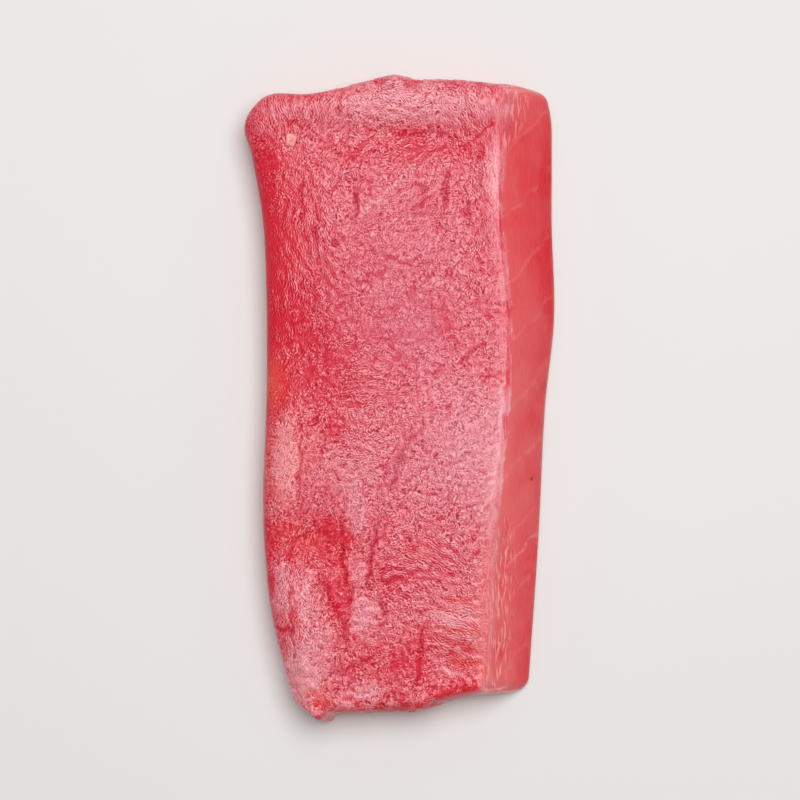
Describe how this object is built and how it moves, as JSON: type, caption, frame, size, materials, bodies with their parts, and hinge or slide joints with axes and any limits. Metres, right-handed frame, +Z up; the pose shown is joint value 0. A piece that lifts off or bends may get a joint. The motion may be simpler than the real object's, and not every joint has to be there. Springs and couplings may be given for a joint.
{
  "type": "tuna sashimi slice",
  "caption": "Single slice of raw tuna cut for sashimi: a soft flat slab with a sloping cut side, rolled edges, creases and a torn near edge, lying flat.",
  "frame": {"origin": "on the flat underside, at the middle of the slice's extent in X and Y", "axes": "+X across the slice towards its sloping cut side, +Y along the slice towards the far end, which has the rolled lobe and the rounded corner, +Z up out of the wide cut face"},
  "size_m": [0.04, 0.083, 0.0082],
  "materials": {
    "tuna_flesh": "raw flesh with a moist, softly glossy, finely wrinkled cut face"
  },
  "bodies": {
    "root": {"tuna_slice": "tuna_flesh"}
  },
  "joints": []
}
